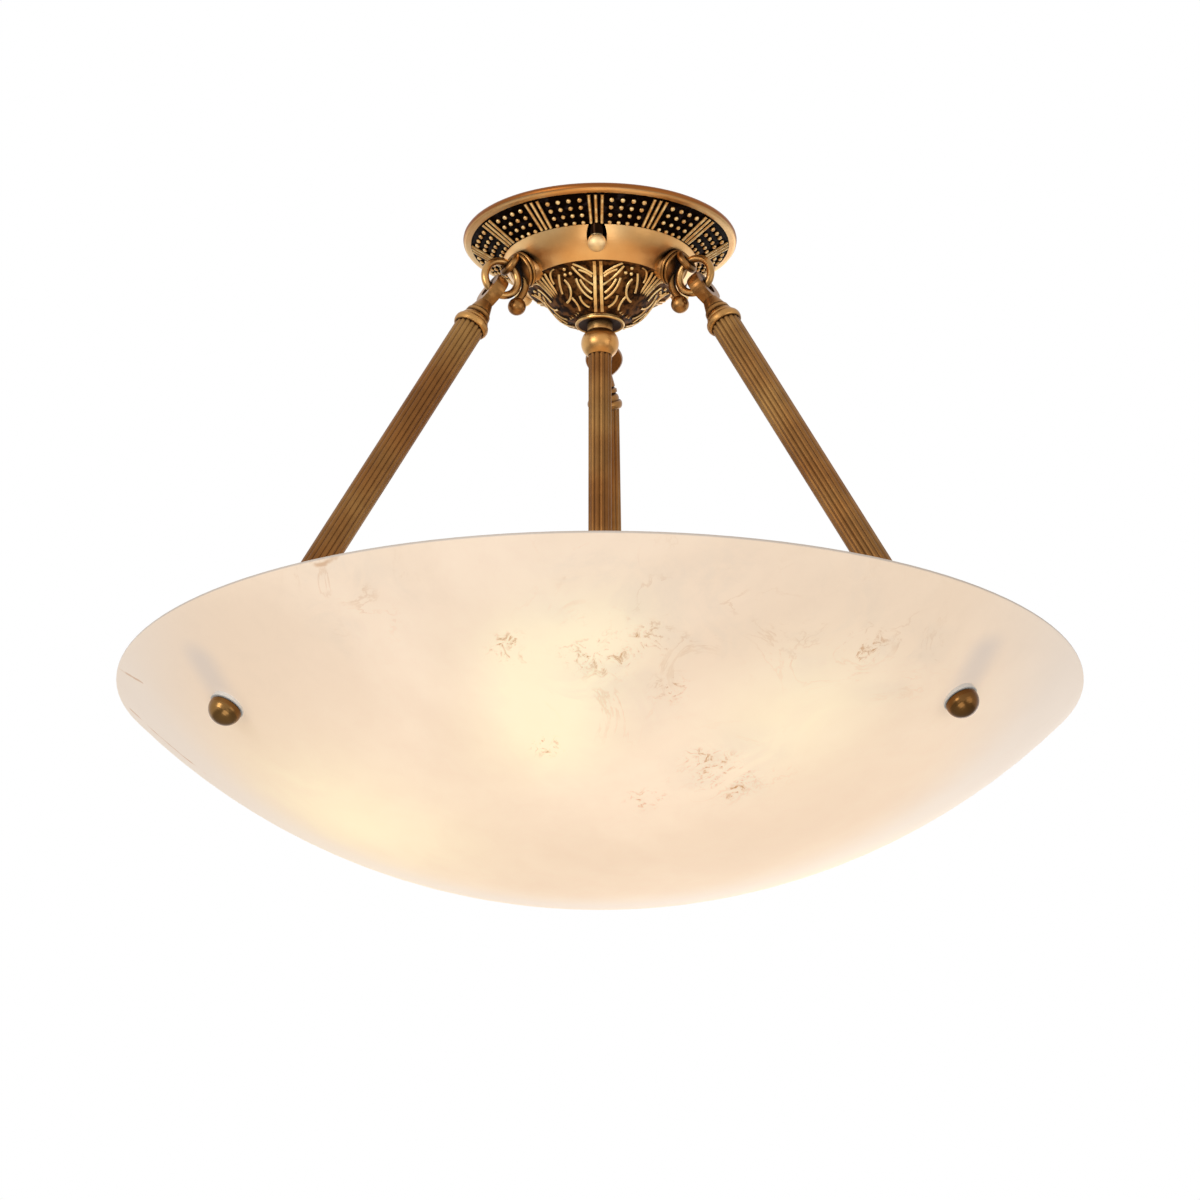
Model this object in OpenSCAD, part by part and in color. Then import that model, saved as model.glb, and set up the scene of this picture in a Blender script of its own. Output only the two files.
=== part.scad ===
// Alabaster bowl ceiling light: a cast brass canopy, three hooks with rings, three splayed
// reeded arms and a shallow alabaster bowl, with a lamp cluster on a reeded centre stem.
// The origin is the middle of the canopy on the ceiling. +Z is up and -Y is the front.

/* [Canopy] */
// Radius of the canopy over its rolled rim
canopy_r = 73.7; // [71.5:0.1:80]
// Radius of the roll along the rim
rim_roll_r = 2.2; // [1.8:0.1:2.4]
// Wall of the canopy casting
canopy_wall = 2.2; // [1.6:0.1:3]
// Radius of the beaded band at its upper edge
band_r = 69.5; // [67:0.1:70.5]
// Depth of the band's upper edge below the ceiling
band_top = 4.6; // [4.4:0.1:5.4]
// Radius of the band at its lower edge
band_low_r = 52.5; // [50:0.1:54]
// Depth of the band's lower edge below the ceiling
band_low = 15; // [13:0.1:16]
// Thickness of the beaded band's backing ring
band_t = 1.6; // [1.2:0.1:1.8]
// Radius of the smooth tier at its foot
tier_low_r = 39.4; // [38:0.1:41]
// Depth of the smooth tier's foot below the ceiling
tier_low = 29.6; // [28:0.1:32]
// Bulge of the smooth tier
tier_bulge = 1.2; // [0.5:0.1:1.8]

/* [Beaded band] */
// Panels of beads round the band
panels = 12; // [9:3:15]
// Rows of beads in a panel
bead_rows = 4; // [3:1:5]
// Beads in a row
bead_cols = 4; // [3:1:5]
// Radius of a bead
bead_r = 1.4; // [1:0.1:1.6]
// Radius of a rib between two panels
rib_r = 1; // [0.6:0.1:1.1]
// Depth of the band's ground below the canopy's surface
ground_depth = 0.6; // [0.2:0.1:0.8]

/* [Ornament dome] */
// Wall of the dome casting
dome_wall = 2; // [1.5:0.1:2.6]
// Radius of the dome's foot
dome_low_r = 13.5; // [12:0.1:16]
// Height of the dome below the smooth tier
dome_h = 19.4; // [18:0.1:21]
// Radius of a carved line
line_r = 0.75; // [0.6:0.05:0.9]
// Width of a carved rib
rib_w = 1.6; // [1.2:0.1:2]
// Height of a carved rib over the dome
rib_proud = 1; // [0.7:0.1:1.3]
// Radius of a carved pearl
pearl_r = 1.1; // [0.8:0.1:1.3]

/* [Finial and stem] */
// Radius of the threaded tube on the centre line
nipple_r = 5; // [4.5:0.1:5.1]
// Bore of the threaded tube, for the wires
wire_r = 3.4; // [2.6:0.1:3.8]
// Radius of the small cup under the dome
cup_r = 13.3; // [11:0.1:15]
// Height of that cup
cup_h = 2.2; // [1.8:0.1:3]
// Gap between the cup and the ball, where the neck shows
neck_len = 1.8; // [1:0.1:3]
// Radius of the neck above the ball
neck_r = 6.7; // [6:0.1:8]
// Largest radius of the ball
ball_r = 10.1; // [9:0.1:12]
// Half the height of the ball
ball_half_h = 8.5; // [7.5:0.1:9]
// Distance from the ball's middle to the flat that the stem meets
ball_flat = 7; // [6:0.1:7.1]
// Radius of the reeded stem
stem_r = 6.3; // [6:0.1:8]
// How far the stem reaches below the bowl's rim
stem_in_bowl = 21; // [12:1:28]
// Reeds round the stem
stem_reeds = 12; // [10:1:16]

/* [Hooks and rings] */
// Radius of a ring's wire
ring_wire_r = 2.1; // [1.8:0.1:2.3]
// Outer radius of a ring
ring_r = 11.75; // [11.5:0.05:13]
// Distance of a ring's centre from the centre line
ring_at_r = 59.3; // [58:0.1:63]
// Depth of a ring's centre below the ceiling
ring_drop = 35.5; // [34:0.1:38]
// Radius of the wire of a hook's eye
eye_wire_r = 1.9; // [1.6:0.1:2]
// Radius of the hole in an eye
eye_hole_r = 3.45; // [3.2:0.05:3.8]
// Radius of the two bead flanges of a hook's boss
boss_r = 10; // [8:0.1:10.5]
// Thickness of one bead flange
flange_t = 2; // [1.6:0.1:2.2]
// Radius of the wire of a hook's tail
tail_wire_r = 2; // [1.5:0.1:2.4]
// Radius of the ball that ends a hook's tail
tail_ball_r = 4.8; // [4:0.1:5.2]
// Distance from a ring's centre to the seat of its hook on the canopy
hook_reach = 16.9; // [16.6:0.1:18]
// Radius of that cast seat
hook_seat_r = 8.2; // [7.2:0.1:9]
// Tilt of a hook's screw, down from level and outwards
hook_tilt = 30; // [27:0.5:34]
// Radius of a hook's threaded spigot
spigot_r = 3; // [2.5:0.1:3.5]
// Length of that spigot
spigot_len = 7; // [5:0.5:8]

/* [Arms] */
// Radius of a reeded arm tube
tube_r = 8; // [7:0.1:8.5]
// Bore of an arm tube
tube_bore_r = 5.5; // [4.5:0.1:6]
// Reeds round an arm tube
tube_reeds = 16; // [14:1:20]
// Depth of the grooves between the reeds
reed_depth = 0.7; // [0.4:0.1:1]
// Radius of the threaded rod inside an arm
rod_r = 3; // [2.5:0.1:3.5]
// Half the width of an arm's eye
head_half_w = 10.3; // [8.5:0.1:10.8]
// Thickness of an arm's eye
head_t = 7; // [6:0.1:7.6]
// Smallest radius of an arm's neck
head_neck_r = 4.3; // [3.5:0.1:5]
// Distance from a ring's centre to the joint of head and tube
head_len = 34.5; // [31:0.1:40]
// Outer radius of an arm's collar
collar_r = 9.6; // [9:0.1:11]
// Height of an arm's collar
collar_h = 4.6; // [3.6:0.1:6]

/* [Bowl] */
// Outer radius of the bowl
bowl_r = 250; // [240:1:260]
// Depth of the bowl over all
bowl_h = 104.8; // [98:0.1:110]
// Height of the upright edge of the rim
bowl_edge = 1.6; // [1.6:0.1:4]
// Rounding of the rim's outer edge
rim_round = 1.2; // [0.8:0.1:1.4]
// Wall of the bowl
bowl_wall = 10; // [8:0.1:12]
// Depth of the bowl's rim below the ceiling
bowl_drop = 257; // [250:1:262]
// Level distance from the bowl's edge to where an arm meets its outside
knob_inset = 41.6; // [38:0.1:46]
// Radius of the holes through the bowl
bowl_hole_r = 4; // [3.8:0.1:4.5]

/* [Bowl fixings] */
// Largest radius of a knob
knob_r = 8.5; // [7.5:0.1:8.8]
// Height of a knob
knob_h = 9.6; // [9:0.1:12]
// Radius of the soft washer under a knob
outer_pad_r = 9; // [8.9:0.1:10]
// Thickness of that washer on the rod's axis
outer_pad_t = 1.5; // [1.3:0.1:2]
// Radius of the washers inside the bowl
inner_pad_r = 12; // [10:0.1:13]
// Thickness of the soft washer inside the bowl, on the rod's axis
inner_pad_t = 2.2; // [2:0.1:3]
// Thickness of the metal washer inside the bowl
washer_t = 2; // [1.5:0.1:2.5]

/* [Lamps] */
// Radius of the hub that carries the lamp holders
hub_r = 17; // [15:0.1:20]
// Height of the hub
hub_h = 24; // [20:1:28]
// Gap between the hub and a lamp holder
holder_gap = 8; // [5:1:12]
// Outer radius of a lamp holder
holder_r = 17.5; // [16.5:0.1:18.5]
// Length of a lamp holder
holder_len = 32; // [30:1:34]
// Radius of a bulb's screw cap
cap_r = 13.2; // [12.8:0.1:13.4]
// Length of a bulb's screw cap
cap_len = 26; // [24:1:27]
// Radius of a bulb's glass
bulb_r = 27.5; // [24:0.5:28]
// Length of a bulb over all
bulb_len = 98; // [92:1:102]

/* [Ceiling plate] */
// Radius of the ceiling plate
plate_r = 56; // [54:0.1:60]
// Thickness of the ceiling plate
plate_t = 1.6; // [1.2:0.1:2]
// Distance between the two fixing slots
slot_spacing = 70; // [64:1:76]
// Length of a fixing slot over all
slot_len = 16; // [12:1:18]
// Half the width of a fixing slot
slot_r = 2.6; // [2.2:0.1:3]
// Radius of the hole for the supply cable
cable_hole_r = 12; // [9:0.5:14]
// Radius of the studs that carry the canopy
stud_r = 2; // [1.8:0.1:2.4]
// Distance of the studs from the centre line
stud_at_r = 49; // [48.4:0.1:49.6]
// Radius of a cap nut
nut_r = 4.95; // [4.6:0.05:5.1]
// Length of a cap nut
nut_len = 15.7; // [14:0.1:17]

/* [Hidden] */
$fn = 72;

// Running clearance of a screwed joint, the gap at a seat between moving bodies, and the gap
// under a soft washer inside the bowl
run = 0.05;
seat = 0.3;
pad_gap = 0.15;

// Directions of the arms and, between them, of the cap nuts and the lamps
arm_dirs = [210, 330, 90];
lamp_dirs = [270, 30, 150];

// Centre and radius of the sphere that the bowl's outside belongs to
cap_h = bowl_h - bowl_edge;
sphere_r = (bowl_r * bowl_r + cap_h * cap_h) / (2 * cap_h);
sphere_z = -bowl_drop - bowl_edge - cap_h + sphere_r;

// The arm's line runs from the ring's centre to its point on the outside of the bowl
knob_at_r = bowl_r - knob_inset;
knob_z = sphere_z - sqrt(sphere_r * sphere_r - knob_at_r * knob_at_r);
arm_tilt = atan2(knob_at_r - ring_at_r, -ring_drop - knob_z);
arm_dir = [sin(arm_tilt), -cos(arm_tilt)];

// Distance along the arm's line from the ring's centre to a sphere round the bowl's centre
from_centre = [ring_at_r, -ring_drop - sphere_z];
function along_to(radius) =
    let (b = from_centre * arm_dir)
    -b + sqrt(b * b - from_centre * from_centre + radius * radius);
outer_s = along_to(sphere_r);
inner_s = along_to(sphere_r - bowl_wall);
knob_s = outer_s + outer_pad_t;
washer_s = inner_s - inner_pad_t;
tube_end_s = washer_s - washer_t;

// The ring, and the eyes on both sides of it
ring_mid_r = ring_r - ring_wire_r;
eye_mid_r = eye_hole_r + eye_wire_r;
eye_s = ring_mid_r - ring_wire_r - 0.35 + eye_hole_r;

// Slopes of the band and of the smooth tier
band_run = [band_low_r - band_r, band_top - band_low];
band_len = norm(band_run);
band_u = band_run / band_len;
band_n = [-band_u[1], band_u[0]];
tier_run = [tier_low_r - band_low_r, band_low - tier_low];
tier_len = norm(tier_run);
tier_u = tier_run / tier_len;
tier_n = [-tier_u[1], tier_u[0]];

// Distance from the ring's centre to the hook's bead flanges, and the length of its cast seat
boss_face = ring_r + 0.5;
hook_seat_len = 6;

// Depths down the centre line
dome_low = tier_low + dome_h;
cup_low = dome_low + cup_h;
ball_z = -(cup_low + neck_len + ball_half_h);
nut_seat = band_low - 2;
nut_pocket_r = nut_r + 0.4;
stem_top = ball_flat - ball_z;
stem_low = bowl_drop + stem_in_bowl;
lamp_z = -(stem_low + hub_h / 2);
plug_depth = 10;
holder_at = hub_r + holder_gap;
cap_end = holder_at + 3 + seat;
earth_at = [-26, -24];

// Directions of a hook's tail about the ring's centre, from level and outwards
tail_start = 150;
tail_end = 232;
tail_ball_lead = 5;

function tier_point(t) =
    [band_low_r, -band_low] + tier_run * t + tier_n * tier_bulge * sin(180 * t);

function bezier(a, b, c, d, t) =
    a * pow(1 - t, 3) + b * 3 * t * pow(1 - t, 2) + c * 3 * t * t * (1 - t) + d * pow(t, 3);

// Carved lines of half a shield, each through three places. A place is an angle from the
// shield's middle and a height from the dome's top edge, 0, to its foot, 1
SHIELD_LINES = [
    [[21, 0.05], [14, 0.2], [5, 0.35]], [[18, 0.23], [12, 0.3], [6, 0.4]],
    [[23, 0.12], [18, 0.35], [5, 0.55]], [[19, 0.43], [15, 0.57], [8, 0.68]],
    [[23, 0.4], [21, 0.57], [8, 0.78]], [[24, 0.7], [23, 0.82], [16, 0.9]],
    [[36, 0.7], [33, 0.8], [36, 0.92]], [[36, 0.38], [33, 0.57], [47, 0.75]],
    [[39, 0.23], [44, 0.45], [46, 0.6]], [[39, 0.07], [48, 0.17], [51, 0.38]],
    [[52, 0.08], [54, 0.5], [44, 0.96]], [[57, 0.06], [58, 0.5], [52, 0.97]]];

// Pearls at the top of half a shield
SHIELD_PEARLS = [[31, 0.15], [33, 0.28], [27, 0.28]];

// Outline of the dome, from its top edge to its foot
dome_steps = 12;
function dome_point(t) = bezier(
    [tier_low_r - 0.4, -tier_low],
    [tier_low_r - 11.6, -tier_low - 0.02 * dome_h],
    [dome_low_r + 17, -tier_low - 0.76 * dome_h],
    [dome_low_r, -dome_low], t);

// Inner outline of the dome, one wall away, from where it leaves the tier's floor
function dome_inside(t) =
    let (d = dome_point(t + 0.01) - dome_point(t - 0.01))
    dome_point(t) + [d[1], -d[0]] * dome_wall / norm(d);
DOME_HOLLOW = [for (k = [1 : dome_steps])
    let (q = dome_inside(k / dome_steps)) if (q[1] < -tier_low - 0.4) q];

// A reeded rod's outline: round reeds with sharp grooves between them
function reeds(radius, count, depth) = [
    for (i = [0 : count - 1], k = [0 : 5])
        let (a = 360 * (i + k / 6) / count, r = radius - depth * (1 - sin(180 * k / 6)))
        [r * cos(a), r * sin(a)]];

// Puts a piece on an arm: the ring's centre is the origin and -Z runs down the arm
module on_arm(i) {
    rotate([0, 0, arm_dirs[i]]) translate([ring_at_r, 0, -ring_drop])
        rotate([0, -arm_tilt, 0]) children();
}

// Puts a piece on a hook's boss: the ring's centre is the origin and +X points off the canopy
module on_boss(i) {
    rotate([0, 0, arm_dirs[i]]) translate([ring_at_r, 0, -ring_drop])
        rotate([0, hook_tilt, 0]) children();
}

// Puts a piece on the bowl's normal through the point at distance s on an arm's line
module on_normal(i, s) {
    point_r = ring_at_r + s * arm_dir[0];
    point_z = s * arm_dir[1] - ring_drop;
    rotate([0, 0, arm_dirs[i]]) translate([0, 0, sphere_z])
        rotate([0, -atan2(point_r, sphere_z - point_z), 0]) children();
}

// A disc with one face on the sphere of the given radius and a flat face beyond it
module pad(outer, radius, flat) {
    rotate_extrude() polygon(concat([[0, -flat]],
        [for (k = [0 : 6]) let (x = outer * k / 6) [x, -sqrt(radius * radius - x * x)]],
        [[outer, -flat]]));
}

// A tube along Z from z0 down to z1
module pipe(z0, z1, outer, inner) {
    translate([0, 0, z1]) difference() {
        cylinder(r = outer, h = z0 - z1);
        translate([0, 0, -1]) cylinder(r = inner, h = z0 - z1 + 2);
    }
}

// A hexagon nut with a round bore, from z0 down
module hex_nut(z0, flats_r, height, bore) {
    translate([0, 0, z0 - height]) difference() {
        cylinder(r = flats_r / cos(30), h = height, $fn = 6);
        translate([0, 0, -1]) cylinder(r = bore, h = height + 2);
    }
}

// The canopy as one full body of turning, with its rolled rim
module canopy_outside() {
    roll_at = canopy_r - rim_roll_r;
    rotate_extrude() polygon(concat([[0, -rim_roll_r]],
        [for (k = [0 : 12]) [roll_at - rim_roll_r * cos(22.5 * k), rim_roll_r * (sin(22.5 * k) - 1)]],
        [[band_r, -band_top], [band_r, -band_top] - band_n * band_t,
            [band_low_r, -band_low] - band_n * band_t],
        [for (k = [0 : 12]) tier_point(k / 12)],
        [[0, -tier_low]]));
}

// The hollow of the canopy
module canopy_hollow() {
    w = canopy_wall;
    inside_r = canopy_r - 2 * rim_roll_r - 0.4;
    rotate_extrude() polygon(concat(
        [[0, 1], [inside_r, 1], [inside_r, -rim_roll_r - 0.4], [band_r - w, -band_top + w]],
        [for (k = [0 : 10]) tier_point(k / 12) - [w, k == 0 ? -w / 2 : 0]],
        [[tier_low_r - w, -tier_low + w], [0, -tier_low + w]]));
}

// The slanting seat that the beaded band fills
module band_seat(proud) {
    rotate_extrude() polygon([
        [band_r, -band_top] + band_n * proud,
        [band_low_r, -band_low] + band_n * proud,
        [band_low_r, -band_low] - band_n * band_t,
        [band_r, -band_top] - band_n * band_t]);
}

// The pockets that the cap nuts stand in, cut from below
module nut_pockets(grow) {
    for (a = lamp_dirs) rotate([0, 0, a]) translate([stud_at_r, 0, -nut_seat - 30])
        cylinder(r = nut_pocket_r + grow, h = 30);
}

// The metal that is left inside the canopy for the cap nuts and the hooks
module inner_bosses() {
    for (a = lamp_dirs) rotate([0, 0, a]) translate([stud_at_r, 0, -tier_low])
        cylinder(r = nut_pocket_r + canopy_wall, h = tier_low - nut_seat + canopy_wall);
    for (i = [0 : 2]) on_boss(i) translate([-hook_reach, 0, 0]) rotate([0, -90, 0])
        cylinder(r = hook_seat_r - 1, h = spigot_len + canopy_wall);
}

// The cast seats that the hooks are screwed up against
module hook_seats(grow) {
    for (i = [0 : 2]) on_boss(i) translate([-hook_reach, 0, 0]) rotate([0, -90, 0])
        cylinder(r = hook_seat_r + grow, h = hook_seat_len + grow);
}

module canopy_dish() {
    color("peru") difference() {
        union() {
            canopy_outside();
            hook_seats(0);
        }
        for (i = [0 : 2]) on_boss(i) translate([-hook_reach, 0, 0]) rotate([0, 90, 0])
            cylinder(r = hook_seat_r - 0.4, h = hook_seat_len);
        difference() {
            canopy_hollow();
            inner_bosses();
        }
        nut_pockets(0);
        translate([0, 0, -tier_low - 1]) cylinder(r = nipple_r + run, h = canopy_wall + 3);
        for (a = lamp_dirs) rotate([0, 0, a]) translate([stud_at_r, 0, -nut_seat - 1])
            cylinder(r = stud_r + 0.3, h = nut_seat);
        for (i = [0 : 2]) on_boss(i) translate([1 - hook_reach, 0, 0]) rotate([0, -90, 0])
            cylinder(r = spigot_r + run, h = spigot_len + 1.5);
    }
}

// One panel's worth of the band: a panel of beads and the group of ribs beside it
module band_panel() {
    pitch = 360 / panels;
    rib_step = 0.1 * pitch;
    col_step = 0.68 * pitch / bead_cols;
    for (row = [0 : bead_rows - 1]) {
        p = [band_r, -band_top] + band_u * band_len * (row + 0.875) / (bead_rows + 0.166);
        for (col = [0 : bead_cols - 1])
            rotate([0, 0, pitch / 2 + (col - (bead_cols - 1) / 2) * col_step])
                translate([p[0], 0, p[1]]) sphere(r = bead_r * (1 - 0.04 * row), $fn = 24);
    }
    for (k = [-1 : 1]) rotate([0, 0, k * rib_step]) {
        p = [band_r, -band_top] + band_u * 0.9;
        translate([p[0], 0, p[1]]) rotate([0, 90 + atan2(-band_u[1], band_u[0]), 0])
            cylinder(r = rib_r, h = band_len - 1.8, $fn = 24);
    }
}

module bead_band() {
    color("saddlebrown") difference() {
        union() {
            band_seat(-ground_depth);
            for (i = [0 : panels - 1]) rotate([0, 0, 270 + i * 360 / panels]) band_panel();
        }
        nut_pockets(0);
    }
}

function on_dome(place) = let (p = dome_point(place[1]))
    [p[0] * cos(place[0]), p[0] * sin(place[0]), p[1]];

// A round bead on the circle through three places on the dome
module carved_line(places, radius) {
    a = on_dome(places[0]);
    u = on_dome(places[1]) - a;
    v = on_dome(places[2]) - a;
    n = cross(u, v);
    mid = cross(v * (u * u) - u * (v * v), n) / (2 * n * n);
    e1 = -mid / norm(mid);
    e3 = n / norm(n);
    e2 = cross(e3, e1);
    sweep = atan2((v - mid) * e2, (v - mid) * e1);
    o = a + mid;
    multmatrix([[e1[0], e2[0], e3[0], o[0]], [e1[1], e2[1], e3[1], o[1]], [e1[2], e2[2], e3[2], o[2]]])
        rotate_extrude(angle = sweep < 0 ? sweep + 360 : sweep)
            translate([norm(mid), 0]) circle(r = radius, $fn = 24);
}

// A flat rib that runs down the dome at a distance to the side of a meridian
module carved_rib(side, width) {
    out = [0.6, -0.8] * rib_proud;
    translate([0, side + width / 2, 0]) rotate([90, 0, 0]) linear_extrude(height = width)
        polygon(concat([for (k = [0 : 8]) dome_point(0.02 + 0.12 * k) + out],
            [for (k = [8 : -1 : 0]) dome_point(0.02 + 0.12 * k) - out]));
}

module dome_carving() {
    for (a = lamp_dirs) rotate([0, 0, a]) {
        for (side = [-1, 1]) {
            carved_rib(side * 1.7, rib_w);
            for (line = SHIELD_LINES)
                carved_line([for (q = line) [side * q[0], q[1]]], line_r);
            for (place = SHIELD_PEARLS)
                translate(on_dome([side * place[0], place[1]])) sphere(r = pearl_r, $fn = 24);
        }
    }
}

module ornament_dome() {
    color("peru") difference() {
        union() {
            rotate_extrude() polygon(concat([for (k = [0 : dome_steps]) dome_point(k / dome_steps)],
                [[0, -dome_low], [0, -tier_low]]));
            dome_carving();
        }
        rotate_extrude() polygon(concat(
            [[0, 3 - tier_low], [tier_low_r + 1, 3 - tier_low], [tier_low_r + 1, -tier_low],
                [DOME_HOLLOW[0][0] + 0.4, -tier_low]],
            DOME_HOLLOW, [[0, DOME_HOLLOW[len(DOME_HOLLOW) - 1][1]]]));
        hook_seats(run);
        translate([0, 0, -dome_low - 1]) cylinder(r = nipple_r + run, h = dome_h);
    }
}

// Shallow cup that closes the dome's foot, hollow below
module finial_cup() {
    lip = 0.7;
    color("goldenrod") difference() {
        rotate_extrude() polygon(concat([[0, -dome_low], [cup_r - lip, -dome_low]],
            [for (k = [0 : 8]) [cup_r - lip + lip * sin(22.5 * k), -cup_low + lip + lip * cos(22.5 * k)]],
            [[neck_r, -dome_low - 1], [0, -dome_low - 1]]));
        translate([0, 0, -cup_low - 1]) cylinder(r = nipple_r + run, h = cup_h + 2);
    }
}

module finial_ball() {
    color("goldenrod") difference() {
        union() {
            translate([0, 0, ball_z]) rotate_extrude() intersection() {
                translate([ball_r - ball_half_h, 0]) circle(r = ball_half_h);
                translate([0, -ball_flat]) square([ball_r, ball_flat + ball_half_h]);
            }
            translate([0, 0, ball_z]) cylinder(r = neck_r, h = -ball_z - dome_low - 1);
        }
        translate([0, 0, ball_z - ball_half_h]) cylinder(r = nipple_r + run, h = 2 * ball_half_h + cup_h + 8);
    }
}

module centre_nipple() {
    color("darkgray") pipe(-tier_low + canopy_wall + 8, -stem_top - plug_depth, nipple_r, wire_r);
}

module nipple_locknut() {
    color("darkgray") hex_nut(-tier_low + canopy_wall + 4, nipple_r + 3, 4, nipple_r + run);
}

// The hook: boss with two bead flanges, closed eye, and a tail that follows the ring to a ball
module hook(i) {
    color("darkgoldenrod") union() {
        hook_boss(i);
        hook_eye(i);
        hook_tail(i);
        on_boss(i) translate([2 - hook_reach, 0, 0]) rotate([0, -90, 0])
            cylinder(r = spigot_r, h = spigot_len + 2);
    }
}

// Boss with two rounded bead flanges, turned about the axis of the hook's screw
module hook_boss(i) {
    half = flange_t / 2;
    on_boss(i) rotate([0, -90, 0]) rotate_extrude() polygon(concat(
        [[0, boss_face]],
        [for (k = [0 : 6]) [boss_r - 0.5 - half + half * sin(30 * k), boss_face + half - half * cos(30 * k)]],
        [for (k = [0 : 6]) [boss_r - half + half * sin(30 * k), boss_face + 3 * half + 0.1 - half * cos(30 * k)]],
        [[hook_seat_r - 1, boss_face + 4 * half + 0.1], [hook_seat_r - 1, hook_reach], [0, hook_reach]]));
}

// Closed eye that the ring's wire passes through, with its top in the boss
module hook_eye(i) {
    on_arm(i) translate([0, 0, eye_s]) rotate([0, 90, 0]) rotate_extrude()
        translate([eye_mid_r, 0]) circle(r = eye_wire_r, $fn = 32);
}

// Tail that runs round the ring and ends in a ball
module hook_tail(i) {
    wire_at = ring_r + 0.6 + tail_wire_r;
    ball_at = ring_r + 0.6 + tail_ball_r;
    on_arm(i) rotate([90, 0, 0]) rotate([0, 0, tail_start - arm_tilt])
        rotate_extrude(angle = tail_end - tail_start)
            translate([wire_at, 0]) circle(r = tail_wire_r, $fn = 32);
    on_arm(i) rotate([0, arm_tilt - tail_end - tail_ball_lead, 0]) translate([ball_at, 0, 0])
        sphere(r = tail_ball_r);
}

module ring(i) {
    color("goldenrod") on_arm(i) rotate([90, 0, 0]) rotate_extrude()
        translate([ring_mid_r, 0]) circle(r = ring_wire_r, $fn = 32);
}

// Outline of an arm's head, turned about the arm: the eye's swelling, the neck and two grooves
function head_radius(s) =
    s < 19 ? let (u = (s - 10.2) / 9.2) head_neck_r + (head_half_w - head_neck_r)
        * max(0, 1 - u * u)
    : head_neck_r + (tube_r - 0.3 - head_neck_r) * pow((s - 19) / (head_len - 19), 0.9);

// The hole of the eye, flared on both sides to follow the ring
module head_hole() {
    waist = 0.6;
    flare = eye_hole_r + 1.1;
    rotate_extrude() polygon([[0, -head_t / 2], [flare, -head_t / 2], [eye_hole_r + 0.1, -waist],
        [eye_hole_r + 0.1, waist], [flare, head_t / 2], [0, head_t / 2]]);
}

module arm_head(i) {
    top = 1.1;
    color("darkgoldenrod") on_arm(i) difference() {
        intersection() {
            rotate_extrude() polygon(concat(
                [[0, -top], [3.4, -top], [6.6, -top - 1.9]],
                [for (s = [5.2 : 1.5 : 17.2]) [head_radius(s), -s]],
                [[head_neck_r, -19.4], [head_radius(24), -24], [head_radius(25), -25],
                    [head_radius(25) - 0.6, -25.8], [head_radius(27) + 0.5, -26.6],
                    [head_radius(28.4) + 0.4, -28.2], [head_radius(28.4) - 0.5, -29],
                    [tube_r - 0.7, -30], [tube_r - 0.15, -31.4], [tube_r - 0.15, -head_len],
                    [0, -head_len]]));
            union() {
                translate([-head_t / 2, -20, -19.4]) cube([head_t, 40, 19.4]);
                translate([0, 0, -head_len - 1]) cylinder(r = 20, h = head_len - 18.4);
            }
        }
        translate([0, 0, -eye_s - 0.15]) rotate([0, 90, 0]) head_hole();
        translate([0, 0, -head_len - 1]) cylinder(r = rod_r + run, h = 11);
    }
}

module arm_collar(i) {
    mid = head_len + 0.6;
    color("goldenrod") on_arm(i) rotate_extrude() polygon(concat(
        [[tube_r + run, -mid + collar_h / 2], [tube_r + run, -mid - collar_h / 2]],
        [for (k = [0 : 8]) [tube_r + 0.3 + (collar_r - tube_r - 0.3) * sin(22.5 * k),
            -mid - collar_h / 2 * cos(22.5 * k)]]));
}

module arm_tube(i) {
    color("peru") on_arm(i) translate([0, 0, -tube_end_s]) difference() {
        linear_extrude(height = tube_end_s - head_len) polygon(reeds(tube_r, tube_reeds, reed_depth));
        translate([0, 0, -1]) cylinder(r = tube_bore_r, h = tube_end_s - head_len + 2);
    }
}

module arm_rod(i) {
    color("darkgray") on_arm(i) translate([0, 0, -knob_s - knob_h + 3])
        cylinder(r = rod_r, h = knob_s + knob_h - 3 - head_len + 9);
}

module inner_washers() {
    color("goldenrod") for (i = [0 : 2]) on_arm(i)
        pipe(-tube_end_s, -washer_s, inner_pad_r, rod_r + 0.1);
}

// Soft washer inside the bowl: one face follows the bowl and the other lies square to the arm
module inner_pads() {
    radius = sphere_r - bowl_wall - pad_gap;
    color("white") for (i = [0 : 2]) intersection() {
        on_normal(i, inner_s) pad(inner_pad_r - 0.5, radius, radius - 8);
        on_arm(i) pipe(-washer_s, -inner_s - 8, inner_pad_r + 3, rod_r + 0.1);
    }
}

// Soft washer outside the bowl
module outer_pads() {
    color("white") for (i = [0 : 2]) intersection() {
        on_normal(i, outer_s) pad(outer_pad_r, sphere_r, sphere_r + 8);
        on_arm(i) pipe(-outer_s + 8, -knob_s, outer_pad_r + 3, rod_r + 0.1);
    }
}

// Turned domed knob with a blind bore on the end of the rod
module knob(i) {
    base = knob_s + seat;
    color("darkgoldenrod") on_arm(i) difference() {
        rotate_extrude() polygon(concat(
            [[0, -base], [knob_r - 0.6, -base], [knob_r, -base - 0.6]],
            [for (k = [0 : 12]) [knob_r * cos(7.5 * k), -base - 1.8 - (knob_h - 1.8) * sin(7.5 * k)]]));
        translate([0, 0, -base - knob_h + 2]) cylinder(r = rod_r + run, h = knob_h);
    }
}

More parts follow.
